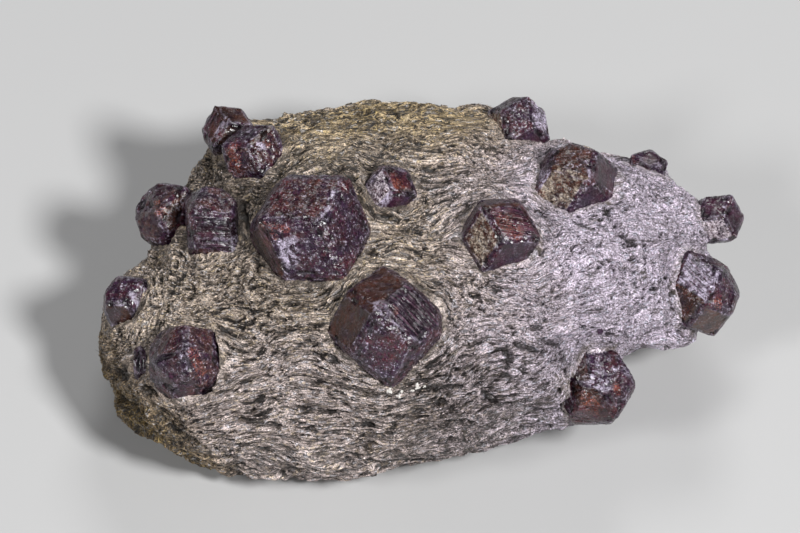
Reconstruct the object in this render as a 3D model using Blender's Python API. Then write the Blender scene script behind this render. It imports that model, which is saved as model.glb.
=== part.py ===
"""Garnet in matrix: dark red almandine crystals standing out of a weathered block of mica schist.

The stone lies on its cleavage, and the side that carries the crystals rises toward the back.
Places on that side are given in millimetres across it (to the right), up it and out of it.
Each crystal is a rhombic dodecahedron whose edges are trimmed by narrow strips.
"""

import math

import bmesh
import bpy
from mathutils import Matrix, Vector, noise

MM = 0.001

# The stone, in millimetres
FACE_RISE = math.radians(35)  # slope of the crystal side against the ground
HALF_THICK = 27.0  # from the rim's level out to the highest part of either side
SHEAR = 0.41  # how far the rim falls away, for each millimetre up the side
SECTION_POWER = 2.2  # 2 is an ellipse, and more is a flatter stone with steeper sides
MIDDLE = (-3.0, -1.0)
REST_LEVEL = -20.5  # height at which the underside is flat
STONE_DETAIL = 6  # halvings of the sphere that the stone is shaped from
STONE_FACES = 5600

# The rim of the stone, clockwise from the left end: (across, up)
RIM = (
    (-64.0, -12.0),
    (-63.0, -6.0),
    (-59.5, 0.5),
    (-54.0, 5.5),
    (-50.0, 13.0),
    (-45.5, 20.0),
    (-41.5, 26.5),
    (-31.5, 33.0),
    (-15.0, 36.6),
    (4.0, 34.2),
    (14.0, 34.6),
    (25.0, 29.5),
    (43.0, 24.6),
    (53.0, 18.6),
    (57.6, 13.6),
    (56.0, 8.0),
    (54.5, -5.0),
    (47.0, -10.2),
    (41.0, -14.0),
    (36.0, -22.0),
    (27.0, -26.8),
    (14.0, -30.6),
    (-2.0, -35.4),
    (-19.0, -36.4),
    (-37.0, -35.2),
    (-51.0, -31.8),
    (-60.5, -22.2),
)

# Relief of the stone, in millimetres
LUMP_HEIGHT = 1.9
LUMP_SPAN = 24.0
LEDGE_THICK = 3.6  # thickness of one bed of the schist
LEDGE_STEP = 1.4  # how far a bed stands out of the next, on the sides
LEDGE_RISER = 0.3  # share of a bed taken up by the step to the next
LEDGE_WAVE = 2.2  # how far a bed rises and falls
UNDER_STEP = 0.8  # how nearly the underside is made of flat treads
KNOT_HEIGHT = 2.6  # knots on the back, where crystals lie buried
COLLAR_HEIGHT = 0.28  # swell of the stone round a crystal, as a share of its half width
COLLAR_REACH = 2.2  # where that swell ends, in half widths from the crystal's centre

# The crystals
SHOULDER = 0.93  # a crystal nearer the rim than this share sits at the height found here
STRIP_REACH = 1.10  # distance of the edge strips, in half widths; the edges lie at 1.155
SOCKET_GAP = 0.3  # between a crystal and its socket
TOUCH_GAP = 0.3  # between two crystals that touch
TOUCH_REACH = 1.25  # crystals touch when nearer than this many half widths, added up

# Crystal axes that can point out of the side, each with the edge that is turned from the right
THREE_EDGES = (Vector((1, 1, 1)), Vector((1, 0, 0)))
FOUR_EDGES = (Vector((0, 0, 1)), Vector((1, 1, 1)))
ONE_FACE = (Vector((1, 1, 0)), Vector((1, 1, 1)))

# name: ((across, up), proud of the stone, half width, what points out, turn, lean, lean toward,
#        breaks and contact faces as (around, out, distance in half widths)). Angles are in degrees.
CRYSTALS = {
    "garnet_top_left_dark": ((-38.2, 30.8), -1.0, 4.7, THREE_EDGES, 0, 20, 100, ()),
    "garnet_top_left_red": (
        (-32.6, 25.8), 0.2, 5.9, THREE_EDGES, 50, 24, 118, ((-90, 10, 0.95), (0, 10, 0.98))
    ),
    "garnet_left_rim": ((-49.8, 14.0), -0.5, 6.2, THREE_EDGES, 45, 22, 144, ()),
    "garnet_left_front": (
        (-41.2, 12.2), 1.6, 7.0, ONE_FACE, 45, 14, -75, ((183, 5, 0.75), (8, 5, 0.76), (48, 0, 0.97))
    ),
    "garnet_largest": ((-21.8, 11.0), 2.4, 10.6, THREE_EDGES, 57, 13, 42, ()),
    "garnet_large_lower": ((-6.6, -7.8), 2.2, 9.4, FOUR_EDGES, 50, 17, 127, ((5, 10, 1.14),)),
    "garnet_mica_coated": ((-6.0, 19.2), 1.0, 4.7, THREE_EDGES, -10, 6, -20, ()),
    "garnet_middle_right": ((15.8, 10.2), 0.8, 7.0, THREE_EDGES, 0, 8, -63, ()),
    "garnet_top_rim": ((19.6, 32.2), 0.0, 5.2, THREE_EDGES, 90, 29, 0, ()),
    "garnet_upper_right": (
        (30.6, 20.4), 0.8, 7.3, FOUR_EDGES, 65, 19, 20, ((113, 0, 1.08), (-65, 0, 1.02))
    ),
    "garnet_buried_rim": ((45.1, 23.2), -3.0, 3.8, THREE_EDGES, 20, 10, 60, ()),
    "garnet_right_tip": ((59.2, 13.4), -5.0, 4.6, THREE_EDGES, 65, 15, 20, ()),
    "garnet_right_edge": ((55.8, -1.2), -2.0, 6.9, FOUR_EDGES, -28, 14, -73, ((25, 10, 0.97),)),
    "garnet_broken": (
        (34.4, -19.6), 0.0, 7.3, THREE_EDGES, 60, 10, 60, ((60, 40, 0.86), (-100, 25, 0.92))
    ),
    "garnet_left_end": ((-57.8, -3.2), -1.5, 5.2, THREE_EDGES, 55, 4, 200, ((180, 5, 0.95),)),
    "garnet_lower_left": (
        (-46.6, -15.0), 1.2, 6.9, FOUR_EDGES, 0, 12, 80, ((-130, 0, 1.18), (-50, 0, 1.2))
    ),
    "garnet_sliver": (
        (-55.5, -15.4), -1.6, 2.9, ONE_FACE, 90, 0, 0, ((0, 0, 0.42), (180, 0, 0.42))
    ),
}

SCHIST_LOOK = ((0.42, 0.38, 0.36), 0.75)  # colour and roughness
GARNET_LOOK = ((0.075, 0.02, 0.028), 0.32)


def clear_scene():
    for old in list(bpy.data.objects):
        bpy.data.objects.remove(old, do_unlink=True)


def make_material(name, look):
    colour, roughness = look
    material = bpy.data.materials.new(name)
    material.use_nodes = True
    shader = material.node_tree.nodes["Principled BSDF"]
    shader.inputs["Base Color"].default_value = (*colour, 1)
    shader.inputs["Roughness"].default_value = roughness
    shader.inputs["Metallic"].default_value = 0.0
    return material


def add_object(name, mesh, material, parent=None):
    piece = bpy.data.objects.new(name, mesh)
    mesh.materials.append(material)
    bpy.context.scene.collection.objects.link(piece)
    piece.parent = parent
    return piece


def smooth_step(share):
    share = min(max(share, 0.0), 1.0)
    return share * share * (3 - 2 * share)


# The stone's plain shape

def rim_curve(steps=12):
    """The rim as a smooth closed curve: (angle from the middle, reach), in order of the angle."""
    points = [Vector(point) - Vector(MIDDLE) for point in RIM]
    curve = []
    for i, start in enumerate(points):
        before, end, after = points[i - 1], points[(i + 1) % len(points)], points[(i + 2) % len(points)]
        for step in range(steps):
            t = step / steps
            # Catmull-Rom spline through the rim's points
            place = 0.5 * (
                2 * start
                + t * (end - before)
                + t**2 * (2 * before - 5 * start + 4 * end - after)
                + t**3 * (3 * start - before - 3 * end + after)
            )
            curve.append((math.atan2(place.y, place.x), place.length))
    return sorted(curve)


RIM_CURVE = rim_curve()


def rim_reach(around):
    """Distance from the middle to the rim, in the direction of an angle."""
    before = RIM_CURVE[-1][0] - math.tau, RIM_CURVE[-1][1]
    for angle, reach in (*RIM_CURVE, (RIM_CURVE[0][0] + math.tau, RIM_CURVE[0][1])):
        if angle >= around:
            share = (around - before[0]) / max(angle - before[0], 1e-9)
            return before[1] + share * (reach - before[1])
        before = angle, reach
    return before[1]


def rim_level(up):
    return -SHEAR * up


def face_height(across, up):
    """How far out the stone's side is at a place on it, and at the shoulder for one beyond that."""
    offset = Vector((across, up)) - Vector(MIDDLE)
    share = offset.length / rim_reach(math.atan2(offset.y, offset.x))
    share = min(share, SHOULDER)
    return rim_level(up) + HALF_THICK * (1 - share**SECTION_POWER) ** (1 / SECTION_POWER)


def plain_stone_place(direction):
    """Where a direction from a sphere's centre meets the stone, before its relief."""
    spread = math.hypot(direction.x, direction.y)
    around = math.atan2(direction.y, direction.x)
    reach = rim_reach(around) * spread ** (2 / SECTION_POWER)
    height = math.copysign(HALF_THICK * abs(direction.z) ** (2 / SECTION_POWER), direction.z)
    across = MIDDLE[0] + reach * math.cos(around)
    up = MIDDLE[1] + reach * math.sin(around)
    return Vector((across, up, rim_level(up) + height))


# The crystals' places and shapes

def crystal_turn(what_points_out, turn, lean, toward):
    """Rotation that points the chosen axis out, turns the crystal about it, then leans it over."""
    out, edge = (axis.normalized() for axis in what_points_out)
    right = (edge - out * edge.dot(out)).normalized()
    upright = Matrix((right, out.cross(right), out))
    spin = Matrix.Rotation(math.radians(turn), 3, "Z")
    toward = math.radians(toward)
    hinge = Vector((-math.sin(toward), math.cos(toward), 0))
    return Matrix.Rotation(math.radians(lean), 3, hinge) @ spin @ upright


def crystal_centre(name):
    (across, up), proud = CRYSTALS[name][:2]
    return Vector((across, up, face_height(across, up) + proud))


def direction_of(around, out):
    around, out = math.radians(around), math.radians(out)
    return Vector((math.cos(around) * math.cos(out), math.sin(around) * math.cos(out), math.sin(out)))


def crystal_planes(name):
    """(outward direction, distance from the centre) of each plane that bounds a crystal."""
    what_points_out, turn, lean, toward, breaks = CRYSTALS[name][3:]
    half = CRYSTALS[name][2]
    rotation = crystal_turn(what_points_out, turn, lean, toward)
    planes = []
    for axis in range(3):
        for a in (-1, 1):
            for b in (-1, 1):
                face = Vector((0, 0, 0))
                face[(axis + 1) % 3], face[(axis + 2) % 3] = a, b
                planes.append((rotation @ face.normalized(), half))
                for c in (-1, 1):
                    strip = Vector((0, 0, 0))
                    strip[axis], strip[(axis + 1) % 3], strip[(axis + 2) % 3] = 2 * c, a, b
                    planes.append((rotation @ strip.normalized(), half * STRIP_REACH))
    planes += [(direction_of(around, out), half * share) for around, out, share in breaks]
    return planes + contact_planes(name)


def contact_planes(name):
    """Flat contact faces where a crystal grew against a neighbour, shared out by their sizes."""
    centre, half = crystal_centre(name), CRYSTALS[name][2]
    planes = []
    for other in CRYSTALS:
        between = crystal_centre(other) - centre
        reach = (half + CRYSTALS[other][2]) * TOUCH_REACH
        if other != name and between.length < reach:
            share = half / (half + CRYSTALS[other][2])
            planes.append((between.normalized(), between.length * share - TOUCH_GAP / 2))
    return planes


def cut_crystal(name, grown=0.0):
    """A block cut down to the crystal by its planes, which stand off by the given growth."""
    centre, half = crystal_centre(name), CRYSTALS[name][2]
    shape = bmesh.new()
    bmesh.ops.create_cube(shape, size=4 * half * MM)
    for outward, distance in crystal_planes(name):
        cut = bmesh.ops.bisect_plane(
            shape,
            geom=shape.verts[:] + shape.edges[:] + shape.faces[:],
            dist=1e-7,
            plane_co=outward * (distance + grown) * MM,
            plane_no=outward,
            clear_outer=True,
        )
        rim = [edge for edge in cut["geom_cut"] if isinstance(edge, bmesh.types.BMEdge)]
        if rim:
            bmesh.ops.contextual_create(shape, geom=rim)
    bmesh.ops.recalc_face_normals(shape, faces=shape.faces[:])
    mesh = bpy.data.meshes.new(name)
    shape.to_mesh(mesh)
    shape.free()
    return mesh, centre * MM


# The stone's relief

def bed_at(height, place):
    """The bed of schist at a height: its number, and how far the step to the next one has risen."""
    beds = (height + LEDGE_WAVE * noise.noise(place / 25)) / LEDGE_THICK
    bed = math.floor(beds)
    return bed, smooth_step((beds - bed - 1 + LEDGE_RISER) / LEDGE_RISER)


def bed_stand(height, place):
    """How far the beds at a height stand out of the side, between -1 and 1."""
    bed, risen = bed_at(height, place)
    here, above = (noise.noise(Vector((n * 5.17, place.x / 35, place.y / 35))) for n in (bed, bed + 1))
    return here + risen * (above - here)


def collar(place, crystals):
    """Swell of the stone where it hugs the crystals, given as (centre, half width)."""
    rise = 0.0
    for centre, half in crystals:
        near = (place - centre).length / (half * COLLAR_REACH)
        rise = max(rise, COLLAR_HEIGHT * half * smooth_step(1.6 * (1 - near)))
    return rise


def relief(place, normal, ground, crystals):
    """How far the stone stands out of its plain shape, in millimetres."""
    lumps = LUMP_HEIGHT * noise.fractal(place / LUMP_SPAN, 0.9, 2.1, 3)
    upward = ground @ normal
    ledges = LEDGE_STEP * bed_stand((ground @ place).z, place) * (1 - upward.z**2)
    knots = KNOT_HEIGHT * smooth_step(2.2 * noise.noise(place / 13 + Vector((7, 3, 1))) - 0.35)
    behind = smooth_step(-2 * normal.z)
    return lumps + ledges + knots * behind + collar(place, crystals)


def step_underside(place):
    """A place on the underside, moved most of the way to its bed, as where slabs broke off."""
    bed, risen = bed_at(place.z, place)
    level = LEDGE_THICK * (bed + risen) - LEDGE_WAVE * noise.noise(place / 25)
    return Vector((place.x, place.y, place.z + UNDER_STEP * (level - place.z)))


def shape_stone(ground):
    """The stone without its sockets. ground turns places on the crystal side to upright ones."""
    shape = bmesh.new()
    bmesh.ops.create_icosphere(shape, subdivisions=STONE_DETAIL, radius=1)
    for vert in shape.verts:
        vert.co = plain_stone_place(vert.co)
    shape.normal_update()
    crystals = [(crystal_centre(name), CRYSTALS[name][2]) for name in CRYSTALS]
    moved = [
        vert.co + vert.normal * relief(vert.co, vert.normal, ground, crystals) for vert in shape.verts
    ]
    underside = [smooth_step(-2 * (ground @ vert.normal).z - 0.4) for vert in shape.verts]
    for vert, place, under in zip(shape.verts, moved, underside):
        upright = ground @ place
        vert.co = upright.lerp(step_underside(upright), under) * MM
    flat = bmesh.ops.bisect_plane(
        shape,
        geom=shape.verts[:] + shape.edges[:] + shape.faces[:],
        dist=1e-7,
        plane_co=(0, 0, REST_LEVEL * MM),
        plane_no=(0, 0, -1),
        clear_outer=True,
    )
    rim = [edge for edge in flat["geom_cut"] if isinstance(edge, bmesh.types.BMEdge)]
    bmesh.ops.holes_fill(shape, edges=rim)
    bmesh.ops.recalc_face_normals(shape, faces=shape.faces[:])
    bmesh.ops.triangulate(shape, faces=shape.faces[:])
    mesh = bpy.data.meshes.new("schist")
    shape.to_mesh(mesh)
    shape.free()
    return mesh


# The specimen

def add_crystals(side, material):
    for name in CRYSTALS:
        mesh, centre = cut_crystal(name)
        crystal = add_object(name, mesh, material, side)
        crystal.location = centre


def add_sockets(stone, side, material):
    """Cuts a socket for each crystal, one gap larger than it."""
    for name in CRYSTALS:
        mesh, centre = cut_crystal(name, SOCKET_GAP)
        cutter = add_object("socket_" + name, mesh, material, side)
        cutter.location = centre
        cutter.hide_render = True
        cutter.display_type = "WIRE"
        socket = stone.modifiers.new("socket " + name, "BOOLEAN")
        socket.operation = "DIFFERENCE"
        socket.solver = "EXACT"
        socket.object = cutter


def stand_on_origin(specimen):
    """Moves the specimen so that the middle of its underside is the origin."""
    bpy.context.view_layer.update()
    graph = bpy.context.evaluated_depsgraph_get()
    corners = []
    for piece in bpy.context.scene.objects:
        if piece.type == "MESH" and not piece.hide_render:
            placed = piece.evaluated_get(graph)
            corners += [placed.matrix_world @ vert.co for vert in placed.data.vertices]
    low = Vector([min(corner[i] for corner in corners) for i in range(3)])
    high = Vector([max(corner[i] for corner in corners) for i in range(3)])
    specimen.location = (-(low.x + high.x) / 2, -(low.y + high.y) / 2, -low.z)


def main():
    clear_scene()
    specimen = bpy.data.objects.new("specimen", None)
    side = bpy.data.objects.new("crystal_side", None)
    for frame in (specimen, side):
        bpy.context.scene.collection.objects.link(frame)
    side.parent = specimen
    side.rotation_euler.x = FACE_RISE
    schist = make_material("schist", SCHIST_LOOK)
    garnet = make_material("garnet", GARNET_LOOK)
    ground = Matrix.Rotation(FACE_RISE, 3, "X")
    stone = add_object("schist", shape_stone(ground), schist, specimen)
    fewer = stone.modifiers.new("fewer faces", "DECIMATE")
    fewer.ratio = STONE_FACES / len(stone.data.polygons)
    add_crystals(side, garnet)
    add_sockets(stone, side, schist)
    stand_on_origin(specimen)


main()
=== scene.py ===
"""The looks of a garnet in matrix: weathered mica schist, its loose flakes and its dark red crystals.

Lengths are in millimetres, in the row frame, unless a name says otherwise. A place as seen is (across, up)
in the picture, from its middle. A direction as seen is (around, out): the angle round from the right in the
picture, and the angle out toward the camera.
"""

import math
from collections import namedtuple

import bmesh
import bpy
import numpy as np
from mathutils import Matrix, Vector, noise
from mathutils.bvhtree import BVHTree
from mathutils.geometry import delaunay_2d_cdt


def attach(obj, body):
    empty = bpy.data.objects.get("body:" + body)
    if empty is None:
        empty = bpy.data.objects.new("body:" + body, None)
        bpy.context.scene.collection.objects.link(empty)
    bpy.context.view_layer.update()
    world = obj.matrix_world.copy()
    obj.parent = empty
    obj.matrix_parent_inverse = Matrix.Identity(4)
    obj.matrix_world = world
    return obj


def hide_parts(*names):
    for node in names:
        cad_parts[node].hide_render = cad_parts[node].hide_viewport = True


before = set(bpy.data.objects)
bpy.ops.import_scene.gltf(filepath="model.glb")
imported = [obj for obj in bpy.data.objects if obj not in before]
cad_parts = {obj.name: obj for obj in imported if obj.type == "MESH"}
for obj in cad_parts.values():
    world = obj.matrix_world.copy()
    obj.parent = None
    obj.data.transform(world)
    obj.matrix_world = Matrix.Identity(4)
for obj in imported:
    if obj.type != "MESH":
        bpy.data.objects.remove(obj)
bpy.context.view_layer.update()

MM = 0.001
SEED = 7

# The view, with the middle of the picture in millimetres to the right and up
VIEW_RISE = math.radians(55)
RIGHT = np.array((1.0, 0.0, 0.0))
UP = np.array((0.0, math.sin(VIEW_RISE), math.cos(VIEW_RISE)))
TOWARD = np.array((0.0, -math.cos(VIEW_RISE), math.sin(VIEW_RISE)))
VIEW_MIDDLE = (-4.46, 16.33)
VIEW_WIDTH = 160.0
LENS = 900.0
SENSOR = 36.0

# The lamps: name, angle round from the front, angle above the floor, metres away, metres across, watts
LAMPS = (
    ("key", 43, 52, 1.6, 0.32, 26),
    ("fill", -50, 45, 1.8, 0.42, 10.5),
    ("back", 170, 50, 1.6, 0.6, 6.5),
)
SKY = (0.9, 0.92, 1.0, 1)
SKY_STRENGTH = 0.055
FLOOR_REACH = 6.0  # metres
FLOOR_GREYS = (0.50, 0.53)

# The folia of the schist: the way its flakes run, and the way out of its layers
FOLIA_ALONG = RIGHT * math.cos(math.radians(6)) + UP * math.sin(math.radians(6))
FOLIA_OUT = TOWARD * math.cos(math.radians(28)) + UP * math.sin(math.radians(28))
FOLIA_OUT = FOLIA_OUT - FOLIA_ALONG * (FOLIA_OUT @ FOLIA_ALONG)
FOLIA_OUT = FOLIA_OUT / np.linalg.norm(FOLIA_OUT)
FOLIA_ACROSS = np.cross(FOLIA_OUT, FOLIA_ALONG)
FOLIA_WAVES = ((3.2, 16.0), (0.9, 5.0), (0.32, 2.0))  # how far the folia wander, over what span
FOLIA_BEND = 0.8  # how fully the folia follow a crystal's surface
FOLIA_STRETCH = 0.5  # how far they are drawn out along it
STRANDS = ((0.7, (3.4, 0.45, 0.4)), (0.34, (12.0, 1.8, 1.5)))  # share, and span along, across and through

# The schist's surface
STONE_VOXEL = 0.35
STONE_FACES = 194_000
LEAST_HIDDEN = 0.1  # above nought, because faces at nought are never merged
HIDDEN_FIRST = 1e-5  # how far hidden faces are merged before the others
SMOOTHING = 36  # rounds
LEDGES = ((1.3, 0.8), (4.6, 1.5))  # where layers end on the upper side: spacing, height
BROKEN_LAYERS = ((0.8, 3.5, 1.0), (3.0, 9.0, 1.9))  # on the sides: thickness, length, how far they differ
SWELLS = ((0.9, 9.0), (0.34, 3.4))  # broad rises and hollows: height, span
STRAND_RELIEF = (0.22, (2.6, 1.0, 0.6))  # height, and span along, across and through
FINE_RELIEF = (0.14, (1.1, 0.5, 0.45))
PALE_RISE = 0.24  # how far pale strands stand out
CLOSE_REACH = 1.5  # the stone is drawn against a crystal when nearer than this
CLOSE_BY = 0.48  # how far it is drawn
HUG_REACH = 3.2  # the stone is more silvery when nearer than this
PIT_DEPTH = 0.6
PIT_SPANS = (2.6, 0.6, 0.6)
PIT_CLUSTERS = (0.24, 7)  # how much more or less of them, over what span

# Crevices in the schist: (from, to, half width, depth), with places as seen
CREVICES = (
    ((22.4, -15.0), (27.6, -16.8), 0.50, 1.1), ((28.0, -14.2), (31.4, -15.8), 0.40, 0.9),
    ((43.6, 6.2), (46.8, 3.8), 0.40, 0.9), ((-18.4, -3.8), (-14.6, -3.2), 0.60, 1.2),
    ((-7.0, 3.4), (-4.2, 2.4), 0.40, 0.8), ((-55.6, -25.4), (-50.8, -29.6), 0.50, 1.1),
    ((-46.4, -31.4), (-38.6, -36.0), 0.50, 1.2), ((-32.2, -30.0), (-23.0, -31.6), 0.40, 0.8),
    ((-20.4, -27.6), (-12.8, -29.0), 0.45, 0.9), ((2.0, -24.8), (12.4, -23.6), 0.45, 0.9),
    ((-38.0, 14.6), (-35.0, 15.8), 0.50, 0.9), ((-56.0, -20.2), (-54.2, -22.6), 0.80, 1.5),
    ((-51.2, -23.8), (-48.4, -25.6), 0.70, 1.4), ((13.6, -5.4), (16.0, -6.2), 0.45, 0.9),
    ((25.4, -11.6), (28.0, -12.4), 0.40, 0.8), ((20.6, -16.6), (22.6, -18.0), 0.55, 1.0),
    ((16.2, -24.6), (19.6, -27.4), 0.55, 1.0), ((6.6, -27.4), (9.4, -26.8), 0.45, 0.9),
    ((8.8, -31.2), (12.4, -30.6), 0.45, 0.9),
)
# How dark the crevices are painted, as painted shade in them
CREVICE_SHADE = 0.9

# Stone heaped up beside a crystal: place as seen, reach, height
LUMPS = (
    ((46.6, 17.6), 3.6, 1.7), ((51.6, 16.6), 2.6, 0.9),
    ((-53.4, -19.0), 1.5, 0.9), ((-50.4, -19.6), 0.8, 0.7),
)

# The tiny crystal, and the grains of white quartz under the second large crystal: place as seen, radius
DOT_PLACE = (39.6, -12.9)
DOT_RADIUS = 0.65
QUARTZ = (
    ((-2.0, -24.4), 0.56), ((0.5, -24.6), 0.50), ((2.1, -24.3), 0.62),
    ((3.3, -23.6), 0.50), ((-0.2, -25.6), 0.40), ((4.8, -23.5), 0.36),
)
QUARTZ_SUNK = 0.4  # how much of a grain's radius its middle lies under the surface

# Kinds of loose mica, in slivers, with lengths, widths and depths as they are on the whole.
# dark: how far they keep to the dark strands, from -1, the pale ones, to 1. lilac_share: how many are left
# where the stone is lilac.
Flakes = namedtuple("Flakes", "name mica count length width depth dark lilac_share seed")
FLAKES = (
    Flakes("muscovite_flakes", "muscovite", 22_000, 0.95, 0.32, 0.10, -0.6, 1.0, 1),
    Flakes("muscovite_slivers", "muscovite", 24_500, 1.4, 0.17, 0.09, -0.4, 1.0, 3),
    Flakes("biotite_flakes", "biotite", 22_000, 1.25, 0.17, 0.10, 1.0, 0.8, 2),
)
FLAKE_TILT = 0.22  # how unevenly they lie
FLAKE_SPREAD = 0.4  # how much their sizes differ
FLAKE_LIFT = 0.03

# The crystals' surface
FACE_STEP = 0.28  # spacing of the points on a crystal's faces
BURIED_STEP = 4.0  # and of the points inside the stone
BURIED_DEPTH = 1.6  # how deep in the stone a face is left coarse
EDGE_REACH = 0.5  # how far from an edge the face's own relief begins
EDGE_WEAR = 0.06  # how far every edge is worn down
CHIPS = (0.4, 2.1)  # chipped edges: depth, span
FACE_SWELL = (0.16, 5)  # uneven faces: height, span
PITTING_SPAN = 1.3
STEP_PEAK = 0.75  # the share of a growth step over which it rises
CRISP_EDGE = math.radians(20)

# How a face grew: height of its steps, their spacing, how rough it is, how far its steps
# bend, and how strongly fine lines are drawn on it
Growth = namedtuple("Growth", "height spacing rough bend lines")
PLAIN = Growth(0.05, 1.7, 0.06, 0.5, 0.0)
LINED = Growth(0.07, 1.0, 0.05, 0.5, 0.8)
RIDGED = Growth(0.26, 1.0, 0.03, 0.5, 1.0)
STEPPED = Growth(0.30, 2.1, 0.10, 0.5, 0.8)
ETCHED = Growth(0.06, 1.4, 0.22, 0.5, 0.0)
SHELLED = Growth(0.30, 1.8, 0.14, 2.0, 0.3)

# A face's tint: (red, brown, coated with mica)
PURPLE = (0.0, 0.0, 0.0)
PLUM = (0.35, 0.0, 0.0)
BROWN = (0.1, 0.9, 0.0)
RUSTY = (0.5, 0.5, 0.0)
RED = (0.9, 0.1, 0.0)
OLIVE_TINGED = (0.0, 0.9, 0.62)
# Partly coated: a pale coat of mica colour that stands for a painted sheen
SHEENY = (0.0, 0.0, 0.42)
SILVERY = (0.0, 0.0, 0.75)
COATED = (0.0, 0.4, 0.9)

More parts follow.
